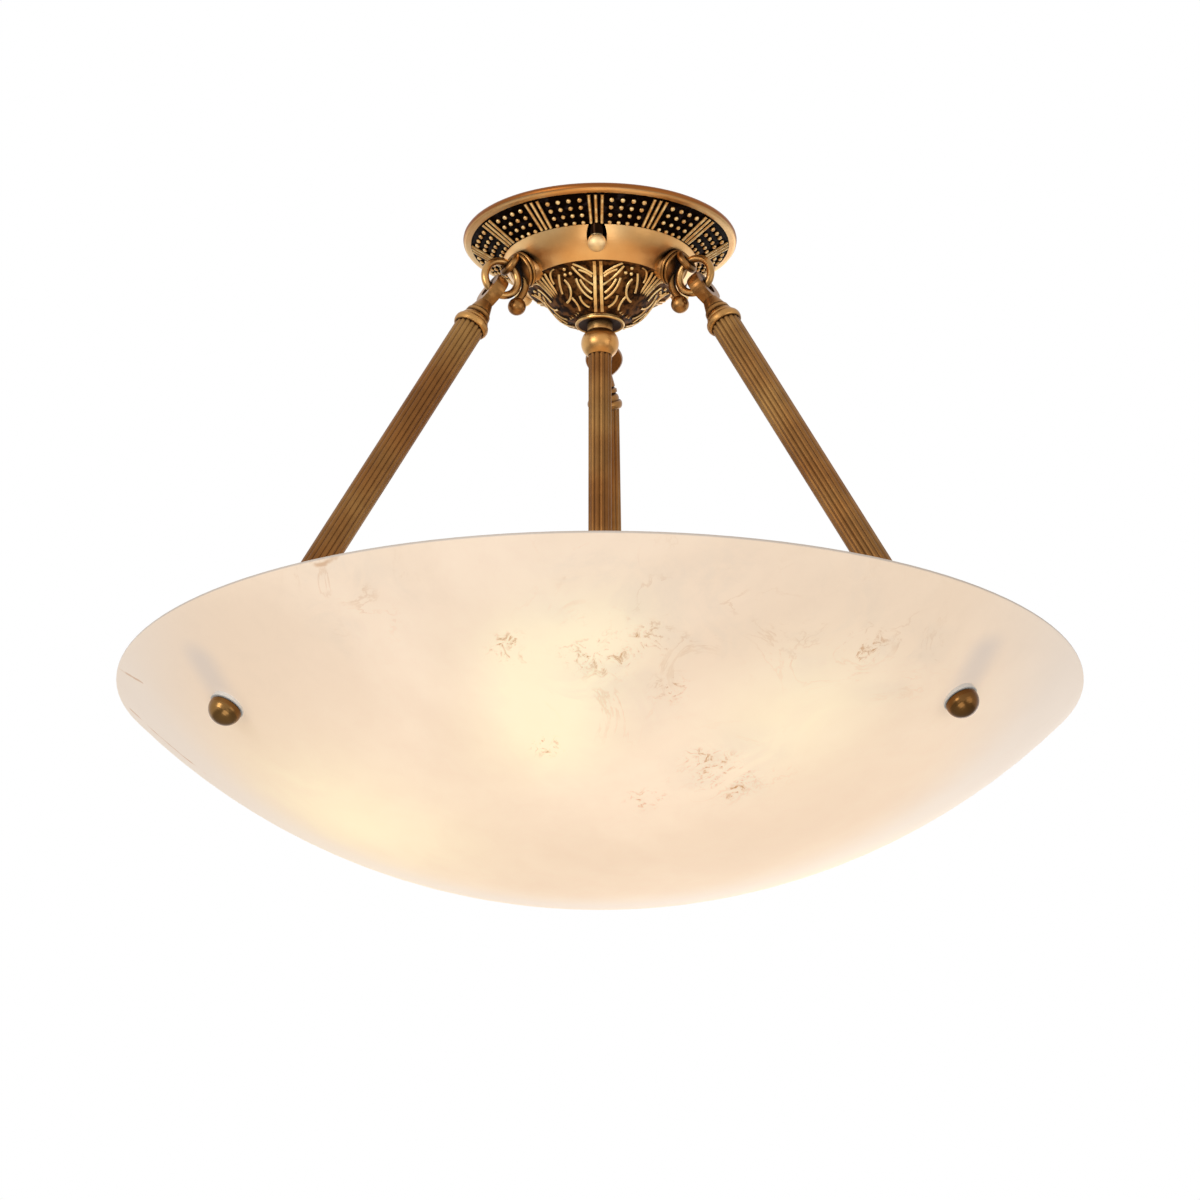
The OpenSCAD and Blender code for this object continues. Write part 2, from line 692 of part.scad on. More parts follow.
// The bowl: a spherical shell with an upright rounded rim and three holes for the arms
module bowl() {
    inner_rim_r = sqrt(pow(sphere_r - bowl_wall, 2) - pow(sphere_z + bowl_drop, 2));
    color("antiquewhite") difference() {
        union() {
            intersection() {
                translate([0, 0, sphere_z]) sphere(r = sphere_r);
                translate([0, 0, -bowl_drop - bowl_h - 1])
                    cylinder(r = bowl_r + 5, h = bowl_h - bowl_edge + 1);
            }
            translate([0, 0, -bowl_drop]) rotate_extrude() polygon(concat(
                [[0, -bowl_edge], [bowl_r, -bowl_edge]],
                [for (k = [0 : 6]) [bowl_r - rim_round * (1 - cos(15 * k)), -rim_round * (1 - sin(15 * k))]],
                [[inner_rim_r + rim_round, 0], [inner_rim_r - 2, -rim_round], [0, -rim_round]]));
        }
        translate([0, 0, sphere_z]) sphere(r = sphere_r - bowl_wall);
        for (i = [0 : 2]) on_arm(i) translate([0, 0, -outer_s - 6])
            cylinder(r = bowl_hole_r, h = bowl_wall + 12);
    }
}

module stem_tube() {
    color("peru") difference() {
        translate([0, 0, -stem_low]) linear_extrude(height = stem_low - stem_top)
            polygon(reeds(stem_r, stem_reeds, reed_depth));
        translate([0, 0, -stem_low - 1]) cylinder(r = wire_r, h = stem_low);
        translate([0, 0, -stem_top - plug_depth - 0.5]) cylinder(r = nipple_r + run, h = 30);
        translate([0, 0, -stem_low - 1]) cylinder(r = nipple_r + run, h = plug_depth + 1.5);
    }
}

module hub_nipple() {
    color("darkgray") pipe(-stem_low + plug_depth, -stem_low - hub_h - 7, nipple_r, wire_r);
}

// Turned hub with a bead at its waist and three side holes for the lamp arms
module lamp_hub() {
    color("darkgoldenrod") translate([0, 0, lamp_z]) difference() {
        rotate_extrude() polygon([[0, hub_h / 2], [stem_r + 2, hub_h / 2], [hub_r - 3, hub_h / 2 - 3],
            [hub_r, hub_h / 2 - 7], [hub_r, -hub_h / 2 + 7], [hub_r - 3, -hub_h / 2 + 3],
            [stem_r + 2, -hub_h / 2], [0, -hub_h / 2]]);
        translate([0, 0, -hub_h]) cylinder(r = nipple_r + run, h = 2 * hub_h);
        for (a = lamp_dirs) rotate([0, 0, a]) rotate([0, 90, 0]) cylinder(r = nipple_r + run, h = hub_r + 1);
    }
}

module hub_cap() {
    z0 = -stem_low - hub_h;
    color("goldenrod") difference() {
        rotate_extrude() polygon(concat([[0, z0], [stem_r + 1.4, z0]],
            [for (k = [0 : 8]) [(stem_r + 2.4) * cos(11.25 * k), z0 - 2 - 8.5 * sin(11.25 * k)]]));
        translate([0, 0, z0 - 7.5]) cylinder(r = nipple_r + run, h = 8.5);
    }
}

module holder_arms() {
    color("darkgray") for (a = lamp_dirs) rotate([0, 0, a]) translate([0, 0, lamp_z]) rotate([0, 90, 0])
        pipe(holder_at + 2.6, nipple_r + 0.6, nipple_r, wire_r);
}

module lamp_holder(i) {
    color("whitesmoke") rotate([0, 0, lamp_dirs[i]]) translate([holder_at, 0, lamp_z]) rotate([0, 90, 0])
        difference() {
            union() {
                rotate_extrude() polygon([[0, 0], [nipple_r + 4, 0], [holder_r - 2, 4], [holder_r - 1, 12],
                    [holder_r - 1, 20], [holder_r, 20.4], [holder_r, holder_len], [0, holder_len]]);
            }
            translate([0, 0, 3]) cylinder(r = cap_r + run, h = holder_len);
            translate([0, 0, -1]) cylinder(r = nipple_r + run, h = 5);
        }
}

// A bulb: screw cap, contact and glass
module bulb(i) {
    neck = cap_r - 1.2;
    mid = bulb_len - bulb_r;
    color("lightyellow") rotate([0, 0, lamp_dirs[i]]) translate([cap_end, 0, lamp_z]) rotate([0, 90, 0])
        union() {
            rotate_extrude() polygon(concat([[0, 0], [cap_r - 5, 0], [cap_r, 3.5], [cap_r, cap_len]],
                [for (k = [0 : 10]) let (t = k / 10)
                    bezier([neck, cap_len], [neck + 0.3, cap_len + 14], [bulb_r, mid - 22], [bulb_r, mid], t)],
                [for (k = [1 : 12]) [bulb_r * cos(7.5 * k), mid + bulb_r * sin(7.5 * k)]]));
        }
}

// Cap nut: a turned shank with a ball end
module cap_nut(i) {
    z0 = -nut_seat - seat;
    ball = z0 - nut_len + nut_r;
    color("goldenrod") rotate([0, 0, lamp_dirs[i]]) translate([stud_at_r, 0, 0]) difference() {
        rotate_extrude() polygon(concat([[0, z0], [nut_r - 0.6, z0], [nut_r - 0.3, z0 - 0.4]],
            [for (k = [-4 : 8]) [nut_r * cos(11.25 * k), ball - nut_r * sin(11.25 * k)]]));
        translate([0, 0, z0 - nut_len + 3]) cylinder(r = stud_r + run, h = nut_len);
    }
}

module canopy_studs() {
    color("darkgray") for (a = lamp_dirs) rotate([0, 0, a])
        translate([stud_at_r, 0, -nut_seat - nut_len + 3.6]) cylinder(r = stud_r, h = nut_seat + nut_len - 3.8);
}

module stud_locknuts() {
    color("darkgray") for (a = lamp_dirs) rotate([0, 0, a]) translate([stud_at_r, 0, 0])
        hex_nut(-plate_t, stud_r + 1.5, 3, stud_r + run);
}

// Round steel plate with two fixing slots, a cable hole and holes for the studs
module ceiling_plate() {
    color("silver") translate([0, 0, -plate_t]) difference() {
        cylinder(r = plate_r, h = plate_t);
        translate([0, 0, -1]) cylinder(r = cable_hole_r, h = plate_t + 2);
        for (side = [-1, 1]) translate([side * slot_spacing / 2, 0, -1]) {
            for (e = [-1, 1]) translate([e * (slot_len / 2 - slot_r), 0, 0])
                cylinder(r = slot_r, h = plate_t + 2);
            translate([-slot_len / 2 + slot_r, -slot_r, 0])
                cube([slot_len - 2 * slot_r, 2 * slot_r, plate_t + 2]);
        }
        for (a = lamp_dirs) rotate([0, 0, a]) translate([stud_at_r, 0, -1])
            cylinder(r = stud_r + run, h = plate_t + 2);
        translate([earth_at[0], earth_at[1], -1]) cylinder(r = 2 + run, h = plate_t + 2);
    }
}

module earth_screw() {
    color("gold") translate([earth_at[0], earth_at[1], 0]) {
        translate([0, 0, -plate_t - 1.4]) cylinder(r = 4.2, h = 1.4);
        translate([0, 0, -plate_t - 4]) difference() {
            cylinder(r = 3.6, h = 2.6);
            translate([-5, -0.5, -1]) cube([10, 1, 2.2]);
        }
        translate([0, 0, -plate_t]) cylinder(r = 2, h = plate_t - 0.2);
    }
}

// Three-way screw terminal for the supply wires
module terminal_block() {
    size = [34, 18, 13];
    color("ivory") translate([0, 26, -plate_t - size[2]]) difference() {
        translate([-size[0] / 2, 0, 0]) cube(size);
        for (k = [-1 : 1]) {
            for (side = [4.5, size[1] - 4.5]) translate([k * 10.5, side, -1]) cylinder(r = 1.9, h = 6);
            translate([k * 10.5, -1, 8]) rotate([-90, 0, 0]) cylinder(r = 2, h = size[1] + 2);
        }
    }
}

ceiling_plate();
canopy_studs();
stud_locknuts();
terminal_block();
earth_screw();
canopy_dish();
bead_band();
ornament_dome();
finial_cup();
finial_ball();
centre_nipple();
nipple_locknut();
hook(0);  // hook_1
hook(1);  // hook_2
hook(2);  // hook_3
ring(0);  // ring_1
ring(1);  // ring_2
ring(2);  // ring_3
arm_head(0);  // arm_head_1
arm_head(1);  // arm_head_2
arm_head(2);  // arm_head_3
arm_collar(0);  // arm_collar_1
arm_collar(1);  // arm_collar_2
arm_collar(2);  // arm_collar_3
arm_tube(0);  // arm_tube_1
arm_tube(1);  // arm_tube_2
arm_tube(2);  // arm_tube_3
arm_rod(0);  // arm_rod_1
arm_rod(1);  // arm_rod_2
arm_rod(2);  // arm_rod_3
inner_washers();
inner_pads();
outer_pads();
knob(0);  // knob_1
knob(1);  // knob_2
knob(2);  // knob_3
bowl();
stem_tube();
hub_nipple();
lamp_hub();
hub_cap();
holder_arms();
lamp_holder(0);  // lamp_holder_1
lamp_holder(1);  // lamp_holder_2
lamp_holder(2);  // lamp_holder_3
bulb(0);  // bulb_1
bulb(1);  // bulb_2
bulb(2);  // bulb_3
cap_nut(0);  // cap_nut_1
cap_nut(1);  // cap_nut_2
cap_nut(2);  // cap_nut_3
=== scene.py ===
import math

import bpy
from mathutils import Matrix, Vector

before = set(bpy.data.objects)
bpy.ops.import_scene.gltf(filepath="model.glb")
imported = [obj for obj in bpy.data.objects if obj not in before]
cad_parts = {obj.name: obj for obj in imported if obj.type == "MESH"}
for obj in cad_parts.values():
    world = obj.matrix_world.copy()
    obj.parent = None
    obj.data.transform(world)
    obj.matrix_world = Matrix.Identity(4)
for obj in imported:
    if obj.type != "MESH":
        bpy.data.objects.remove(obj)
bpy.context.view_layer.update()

bl_info = {
    "name": "Alabaster bowl ceiling light",
    "version": (1, 0, 0),
    "blender": (4, 5, 0),
    "location": "3D View > Sidebar > Ceiling light",
    "description": "Dresses the ceiling light's frame: cast ornament, patinated brass, lit alabaster",
    "category": "Object",
}

# Directions of the three arms, in degrees
ARM_DIRS = (210.0, 330.0, 90.0)

# Which nodes share a finish
CAST_NODES = (
    "hook_1", "hook_2", "hook_3", "arm_head_1", "arm_head_2", "arm_head_3",
    "arm_collar_1", "arm_collar_2", "arm_collar_3", "lamp_hub", "hub_cap", "inner_washers",
    "earth_screw",
)
CANOPY_NODES = ("canopy_dish",)
BALL_NODES = ("finial_ball",)
RING_NODES = ("ring_1", "ring_2", "ring_3")
KNOB_NODES = ("knob_1", "knob_2", "knob_3")
TUBE_NODES = ("arm_tube_1", "arm_tube_2", "arm_tube_3")
STEM_NODES = ("stem_tube",)
BAND_NODES = ("bead_band",)
DOME_NODES = ("ornament_dome",)
CUP_NODES = ("finial_cup",)
NUT_NODES = ("cap_nut_1", "cap_nut_2", "cap_nut_3")
BRASS_NODES = (CAST_NODES + CANOPY_NODES + BALL_NODES + RING_NODES + KNOB_NODES + TUBE_NODES
               + STEM_NODES + BAND_NODES + DOME_NODES + CUP_NODES + NUT_NODES)
HOLDER_NODES = ("lamp_holder_1", "lamp_holder_2", "lamp_holder_3")
BULB_NODES = ("bulb_1", "bulb_2", "bulb_3")
PAD_NODES = ("inner_pads", "outer_pads")
STEEL_NODES = (
    "ceiling_plate", "canopy_studs", "stud_locknuts", "centre_nipple", "nipple_locknut",
    "hub_nipple", "holder_arms", "arm_rod_1", "arm_rod_2", "arm_rod_3",
)


def deselect():
    bpy.ops.object.select_all(action="DESELECT")


# ---------------------------------------------------------------- node helpers
class Shader:
    """A small builder for a node material on Object coordinates."""

    def __init__(self, name):
        self.mat = bpy.data.materials.new(name)
        self.mat.use_nodes = True
        self.tree = self.mat.node_tree
        self.tree.nodes.clear()
        self.out = self.tree.nodes.new("ShaderNodeOutputMaterial")
        self.bsdf = self.tree.nodes.new("ShaderNodeBsdfPrincipled")
        self.link(self.bsdf.outputs[0], self.out.inputs[0])
        self.coord = self.tree.nodes.new("ShaderNodeTexCoord").outputs["Object"]

    def link(self, a, b):
        self.tree.links.new(a, b)

    def put(self, socket, value):
        """Links another socket, or sets a constant."""
        if isinstance(value, bpy.types.NodeSocket):
            self.link(value, socket)
        else:
            socket.default_value = value

    def node(self, kind, **settings):
        n = self.tree.nodes.new(kind)
        for k, v in settings.items():
            setattr(n, k, v)
        return n

    def noise(self, scale, detail=4.0, roughness=0.55, distortion=0.0, vector=None):
        n = self.node("ShaderNodeTexNoise")
        self.link(vector or self.coord, n.inputs["Vector"])
        n.inputs["Scale"].default_value = scale
        n.inputs["Detail"].default_value = detail
        n.inputs["Roughness"].default_value = roughness
        n.inputs["Distortion"].default_value = distortion
        return n.outputs["Fac"]

    def math(self, op, a, b=0.0, clamp=False):
        n = self.node("ShaderNodeMath", operation=op, use_clamp=clamp)
        self.put(n.inputs[0], a)
        self.put(n.inputs[1], b)
        return n.outputs[0]

    def ramp(self, value, low, high, out_low=0.0, out_high=1.0):
        """A smooth step between two values."""
        n = self.node("ShaderNodeMapRange", interpolation_type="SMOOTHSTEP")
        self.put(n.inputs["Value"], value)
        n.inputs["From Min"].default_value = low
        n.inputs["From Max"].default_value = high
        n.inputs["To Min"].default_value = out_low
        n.inputs["To Max"].default_value = out_high
        return n.outputs["Result"]

    def mix(self, fac, a, b):
        n = self.node("ShaderNodeMix", data_type="RGBA")
        self.put(n.inputs[0], fac)
        self.put(n.inputs[6], rgba(a))
        self.put(n.inputs[7], rgba(b))
        return n.outputs[2]

    def times(self, first, *others):
        """The product of all the values."""
        for other in others:
            first = self.math("MULTIPLY", first, other)
        return first

    def distance(self, point):
        """Distance from a point of the object."""
        return self.vector("DISTANCE", self.coord, point, out="Value")

    def axis(self, index):
        n = self.node("ShaderNodeSeparateXYZ")
        self.link(self.coord, n.inputs[0])
        return n.outputs[index]

    def vector(self, op, a, b=None, out="Vector"):
        n = self.node("ShaderNodeVectorMath", operation=op)
        self.put(n.inputs[0], a)
        if b is not None:
            self.put(n.inputs[1], b)
        return n.outputs[out]

    def radius(self):
        """Distance from the object's centre line."""
        return self.vector("LENGTH", self.vector("MULTIPLY", self.coord, (1.0, 1.0, 0.0)), out="Value")

    def wander(self, scale, amount):
        """Object coordinates pushed about by a noise, for marks with natural edges."""
        n = self.node("ShaderNodeTexNoise")
        self.link(self.coord, n.inputs["Vector"])
        n.inputs["Scale"].default_value = scale
        n.inputs["Detail"].default_value = 4.0
        push = self.vector("SUBTRACT", n.outputs["Color"], (0.5, 0.5, 0.5))
        push = self.vector("MULTIPLY", push, (amount, amount, amount))
        return self.vector("ADD", self.coord, push)

    def to_line(self, place, a, b):
        """Distance of a place from the straight line between two points."""
        along = Vector(b) - Vector(a)
        start = self.vector("SUBTRACT", place, tuple(a))
        t = self.vector("DOT_PRODUCT", start, tuple(along / along.length_squared), out="Value")
        n = self.node("ShaderNodeVectorMath", operation="SCALE")
        n.inputs[0].default_value = tuple(along)
        self.link(self.math("ADD", t, 0.0, True), n.inputs["Scale"])
        return self.vector("LENGTH", self.vector("SUBTRACT", start, n.outputs[0]), out="Value")

    def veins(self, scale, width):
        """Thin wandering lines where a noise crosses its middle."""
        off = self.math("ABSOLUTE", self.math("SUBTRACT", self.noise(scale, 7.0, 0.6, 1.6), 0.5))
        return self.ramp(off, 0.0, width, 1.0, 0.0)

    def curve(self, value, points):
        """A curve from 0 to 1 through the given points."""
        n = self.node("ShaderNodeFloatCurve")
        line = n.mapping.curves[0]
        for i, (x, y) in enumerate(points):
            if i < 2:
                line.points[i].location = (x, y)
            else:
                line.points.new(x, y)
        n.mapping.update()
        self.put(n.inputs["Value"], value)
        return n.outputs[0]

    def cavity(self, reach):
        """1 on open surfaces and less in hollows."""
        n = self.node("ShaderNodeAmbientOcclusion", samples=8)
        n.inputs["Distance"].default_value = reach
        return n.outputs["AO"]

    def bump(self, height, strength, distance):
        n = self.node("ShaderNodeBump")
        n.inputs["Strength"].default_value = strength
        n.inputs["Distance"].default_value = distance
        self.link(height, n.inputs["Height"])
        self.link(n.outputs["Normal"], self.bsdf.inputs["Normal"])


def toned(colour, share):
    """A colour made darker or lighter by a share."""
    return tuple(v * share for v in colour)


def rgba(value):
    """Adds full opacity to a colour; a socket stays as it is."""
    if isinstance(value, (tuple, list)) and len(value) == 3:
        return (*value, 1.0)
    return value


def patinated_brass(name, dark, mid, bright, reach=0.004, low=0.35, high=0.85, roughness=0.34,
                    grain=0.25):
    """Cast brass: dark patina in the hollows, rubbed edges, faint mottling and pitting."""
    s = Shader(name)
    open_part = s.ramp(s.cavity(reach), low, high)
    mottle = s.noise(55.0, 6.0, 0.6)
    blotch = s.noise(16.0, 3.0, 0.5)
    rubbed = s.mix(s.ramp(blotch, 0.35, 0.68), mid, bright)
    tone = s.mix(s.ramp(mottle, 0.3, 0.75, 0.0, 0.35), rubbed, dark)
    s.put(s.bsdf.inputs["Base Color"], s.mix(open_part, dark, tone))
    s.bsdf.inputs["Metallic"].default_value = 1.0
    s.put(s.bsdf.inputs["Roughness"], s.ramp(open_part, 0.0, 1.0, 0.62, roughness))
    s.bump(s.noise(420.0, 3.0, 0.6), grain, 0.0003)
    return s.mat


# The beaded band is a cone: its upper edge, and its outward direction
BAND_EDGE = (0.0695, -0.0046)
BAND_OUT = (0.5218, -0.853)


def beaded_brass(patina, rubbed):
    """Black ground of patina and painted shade, straw-coloured ribs, and bead tops of rubbed brass
    with a painted highlight, by their height over the band.
    """
    s = Shader("beaded_brass")
    out = s.math("MULTIPLY", s.math("SUBTRACT", s.radius(), BAND_EDGE[0]), BAND_OUT[0])
    down = s.math("MULTIPLY", s.math("SUBTRACT", s.axis(2), BAND_EDGE[1]), BAND_OUT[1])
    height = s.math("ADD", out, down)
    # The ground between the beads: dark patina, darkened further as painted shade
    ground = s.mix(s.ramp(s.noise(260.0, 3.0), 0.5, 0.75), toned(patina, 0.15), (0.034, 0.024, 0.026))
    side = s.mix(s.ramp(height, 0.00005, 0.0006), ground, toned(rubbed, 0.62))
    # Bead tops: rubbed brass, brightened as a painted highlight
    top = s.mix(s.ramp(s.noise(300.0, 2.0), 0.35, 0.65), rubbed, (1.0, 0.74, 0.36))
    colour = s.mix(s.ramp(height, 0.0005, 0.00105), side, top)
    s.put(s.bsdf.inputs["Base Color"], colour)
    s.put(s.bsdf.inputs["Metallic"], s.ramp(height, 0.0006, 0.0012, 1.0, 0.55))
    s.put(s.bsdf.inputs["Roughness"], s.ramp(height, 0.0, 0.0009, 0.7, 0.3))
    s.bump(s.noise(500.0, 3.0), 0.2, 0.0002)
    return s.mat


# The dome's outline in metres: its top edge, two guide points and its foot, as (radius, height)
DOME_GUIDES = ((0.0390, -0.0296), (0.0278, -0.02999), (0.0305, -0.04434), (0.0135, -0.0490))
DOME_R = (0.0130, 0.0400)
DOME_Z = (-0.0500, -0.0290)


def bezier(guides, t):
    """A place on the curve with four guide points."""
    weights = ((1 - t) ** 3, 3 * t * (1 - t) ** 2, 3 * t * t * (1 - t), t ** 3)
    return [sum(w * g[k] for w, g in zip(weights, guides)) for k in (0, 1)]


def carved_brass(patina, brass, rubbed):
    """Carved dome: black-brown hollows, and golden lines of rubbed brass with a painted highlight, by
    their height over its outline.
    """
    s = Shader("carved_brass")
    outline = [bezier(DOME_GUIDES, k / 10) for k in range(10, -1, -1)]
    span_r, span_z = DOME_R[1] - DOME_R[0], DOME_Z[1] - DOME_Z[0]
    where = s.math("DIVIDE", s.math("SUBTRACT", s.radius(), DOME_R[0]), span_r, True)
    plain = s.curve(where, [((r - DOME_R[0]) / span_r, (z - DOME_Z[0]) / span_z) for r, z in outline])
    plain = s.math("ADD", s.math("MULTIPLY", plain, span_z), DOME_Z[0])
    steepness = s.ramp(where, 0.55, 0.95, 0.62, 0.9)
    height = s.math("MULTIPLY", s.math("SUBTRACT", plain, s.axis(2)), steepness)
    open_part = s.cavity(0.0022)
    ground = s.mix(s.ramp(s.noise(260.0, 4.0), 0.4, 0.65), toned(patina, 0.5), toned(brass, 0.5))
    # The raised lines: rubbed brass, brightened as a painted highlight
    line = s.mix(s.ramp(s.noise(90.0, 3.0), 0.3, 0.7), (0.80, 0.46, 0.16), (1.0, 0.72, 0.32))
    free = s.ramp(open_part, 0.45, 0.85, 0.35, 1.0)
    raised = s.math("MULTIPLY", s.ramp(height, 0.00012, 0.00055), free)
    s.put(s.bsdf.inputs["Base Color"], s.mix(raised, ground, line))
    s.put(s.bsdf.inputs["Metallic"], s.ramp(raised, 0.5, 1.0, 1.0, 0.7))
    s.put(s.bsdf.inputs["Roughness"], s.ramp(raised, 0.0, 1.0, 0.6, 0.3))
    s.bump(s.noise(420.0, 3.0), 0.25, 0.0002)
    return s.mat


# Where the canopy's rolled rim turns from its golden inside, painted as a highlight, to its brown
# outside, in metres
RIM_OUTSIDE = (0.0688, 0.0712)


def canopy_brass(patina, brass):
    """Golden tier, and an inner rim painted golden as a highlight; the rolled rim turns brown towards
    its outside.
    """
    s = Shader("canopy_brass")
    open_part = s.ramp(s.cavity(0.004), 0.35, 0.85)
    tone = s.mix(s.ramp(s.noise(16.0, 3.0), 0.35, 0.68), (0.82, 0.42, 0.14), (1.0, 0.70, 0.34))
    tone = s.mix(s.ramp(s.noise(55.0, 6.0, 0.6), 0.3, 0.75, 0.0, 0.2), tone, brass)
    # The rolled rim: its lower inner side golden as a painted highlight, brown towards its upper
    # outside
    outward = s.math("SUBTRACT", s.radius(), s.math("MULTIPLY", s.axis(2), -0.9))
    outside = s.ramp(outward, *RIM_OUTSIDE)
    tone = s.mix(outside, tone, (0.26, 0.085, 0.018))
    s.put(s.bsdf.inputs["Base Color"], s.mix(open_part, patina, tone))
    s.bsdf.inputs["Metallic"].default_value = 1.0
    s.put(s.bsdf.inputs["Roughness"], s.ramp(outside, 0.0, 1.0, 0.32, 0.42))
    s.bump(s.noise(420.0, 3.0, 0.6), 0.14, 0.0003)
    return s.mat


def painted_shade_brass(name, patina, bright, value, low, high, roughness=0.3):
    """Brass painted dark, as shade, at one end of a value and bright at the other."""
    s = Shader(name)
    share = s.ramp(value(s), low, high)
    tone = s.mix(s.ramp(s.noise(120.0, 4.0), 0.35, 0.7), bright, toned(bright, 0.7))
    s.put(s.bsdf.inputs["Base Color"], s.mix(share, patina, tone))
    s.bsdf.inputs["Metallic"].default_value = 1.0
    s.put(s.bsdf.inputs["Roughness"], s.ramp(share, 0.0, 1.0, 0.55, roughness))
    s.bump(s.noise(420.0, 3.0), 0.15, 0.0002)
    return s.mat


def zinc_steel():
    """Zinc-plated steel with a cloudy tone."""
    s = Shader("zinc_steel")
    cloud = s.noise(90.0, 5.0, 0.6)
    s.put(s.bsdf.inputs["Base Color"], s.mix(cloud, (0.42, 0.42, 0.40), (0.66, 0.66, 0.63)))
    s.bsdf.inputs["Metallic"].default_value = 1.0
    s.put(s.bsdf.inputs["Roughness"], s.ramp(cloud, 0.2, 0.8, 0.28, 0.5))
    s.bump(s.noise(700.0, 2.0), 0.15, 0.0002)
    return s.mat


def plain_ware(name, low, high, roughness):
    """Porcelain, plastic or rubber with a slight unevenness of tone and surface."""
    s = Shader(name)
    cloud = s.noise(60.0, 4.0)
    s.put(s.bsdf.inputs["Base Color"], s.mix(cloud, low, high))
    s.put(s.bsdf.inputs["Roughness"], s.ramp(cloud, 0.2, 0.8, roughness * 0.8, roughness * 1.2))
    s.bump(s.noise(300.0, 2.0), 0.1, 0.0002)
    return s.mat


def bulb_glass(glow):
    """Frosted glass lit from inside."""
    s = Shader("bulb_glass")
    cloud = s.noise(40.0, 3.0)
    s.put(s.bsdf.inputs["Base Color"], s.mix(cloud, (0.93, 0.86, 0.72), (0.98, 0.93, 0.82)))
    s.bsdf.inputs["Roughness"].default_value = 0.35
    s.put(s.bsdf.inputs["Emission Color"], s.mix(cloud, (1.0, 0.80, 0.52), (1.0, 0.86, 0.62)))
    s.bsdf.inputs["Emission Strength"].default_value = glow
    return s.mat


# Painted glow of the bulbs on the bowl's outside: warm places, with their reach in metres and strength
GLOWS = (
    ((-0.019, -0.196, -0.302), 0.030, 1.0), ((-0.021, -0.172, -0.316), 0.030, 0.8),
    ((-0.024, -0.146, -0.329), 0.030, 0.75), ((0.012, -0.211, -0.292), 0.024, 0.7),
    ((0.102, -0.142, -0.316), 0.042, 0.75), ((-0.122, -0.045, -0.337), 0.055, 0.95),
    ((0.120, 0.110, -0.324), 0.060, 0.9), ((-0.120, 0.120, -0.322), 0.060, 0.8),
)

# Middles of the brown speckled patches on the bowl's outside, with their reach in metres
SPECKLE_PATCHES = (
    ((-0.036, -0.200, -0.298), 0.014), ((0.008, -0.202, -0.298), 0.026),
    ((0.030, -0.203, -0.296), 0.016), ((-0.022, -0.146, -0.329), 0.012),
    ((0.053, -0.131, -0.332), 0.014), ((0.063, -0.117, -0.336), 0.020),
    ((0.066, -0.107, -0.338), 0.022), ((0.026, -0.104, -0.345), 0.014),
    ((0.040, -0.178, -0.312), 0.014), ((0.132, -0.170, -0.290), 0.018),
    ((0.060, 0.150, -0.318), 0.030),
)

# Middles of the grey clouds with a fine network of veins
CLOUD_PATCHES = (
    ((0.008, -0.226, -0.279), 0.050), ((0.056, -0.214, -0.282), 0.055),
    ((0.110, -0.190, -0.284), 0.050), ((0.150, -0.150, -0.288), 0.040),
    ((0.016, -0.180, -0.312), 0.045), ((0.070, -0.120, -0.335), 0.045),
    ((-0.110, -0.205, -0.275), 0.045), ((-0.060, 0.190, -0.295), 0.060),
)

# Single brown marks in metres: from, to, half width, strength
MARKS = (
    ((-0.2440, 0.0010, -0.2650), (-0.2060, 0.0120, -0.2950), 0.0021, 0.75),
    ((-0.2430, -0.0563, -0.2590), (-0.2300, -0.0640, -0.2690), 0.0011, 0.55),
    ((-0.1150, -0.2220, -0.2600), (-0.1270, -0.2140, -0.2605), 0.0018, 0.5),
    ((0.0500, -0.1350, -0.3312), (0.0545, -0.1330, -0.3316), 0.0009, 0.95),
    ((-0.0225, -0.1480, -0.3290), (-0.0205, -0.1400, -0.3320), 0.0008, 0.6),
    ((-0.0390, -0.2020, -0.2960), (-0.0355, -0.1960, -0.3000), 0.0008, 0.7),
    ((0.0190, -0.1045, -0.3450), (0.0270, -0.1035, -0.3455), 0.0007, 0.7),
)


# The arms' soft shades in the stone: from the knob towards the rim, as (radius, height), and how
# far each one turns aside, in degrees
SHADE_FROM = (0.2084, -0.2935)
SHADE_TO = (0.2290, -0.2785)
SHADE_TURNS = (3.0, -3.0, 3.0)

BOWL_R = 0.25


def arm_place(direction, radius, z):
    """A place in the upright plane of an arm."""
    a = math.radians(direction)
    return (radius * math.cos(a), radius * math.sin(a), z)


def highest(s, values):
    """The highest of the values."""
    top = values[0]
    for value in values[1:]:
        top = s.math("MAXIMUM", top, value)
    return top


def spots(s, patches, core):
    """1 in the middle of each patch and 0 past its reach."""
    return highest(s, [s.ramp(s.distance(middle), reach * core, reach, 1.0, 0.0)
                       for middle, reach in patches])


def painted_bulb_glow(s, wisps):
    """How warm the stone's painted glow is, near the bulbs behind it."""
    warm = None
    for spot, reach, strength in GLOWS:
        d = s.math("DIVIDE", s.distance(spot), reach)
        m = s.times(s.math("EXPONENT", s.times(d, d, -1.0)), strength)
        warm = m if warm is None else s.math("ADD", warm, m)
    return s.math("MULTIPLY", warm, s.ramp(wisps, 0.3, 0.7, 0.75, 1.1), True)


def painted_pale_edge(s):
    """Where the stone's painted glow is paler and cooler: towards its outline seen from the front, and
    at the back rim."""
    across = s.math("POWER", s.math("ABSOLUTE", s.math("DIVIDE", s.axis(0), BOWL_R)), 2.0)
    behind = s.math("MAXIMUM", s.math("ADD", s.axis(1), 0.10), 0.0)
    down = s.math("POWER", s.math("DIVIDE", behind, 0.16), 2.0)
    back = s.ramp(s.axis(1), 0.05, 0.10)
    front_edge = s.times(s.ramp(s.math("ADD", across, down), 0.45, 1.0), s.math("SUBTRACT", 1.0, back))
    back_edge = s.times(s.ramp(s.radius(), 0.16, 0.25), back)
    return s.math("ADD", front_edge, back_edge, True)


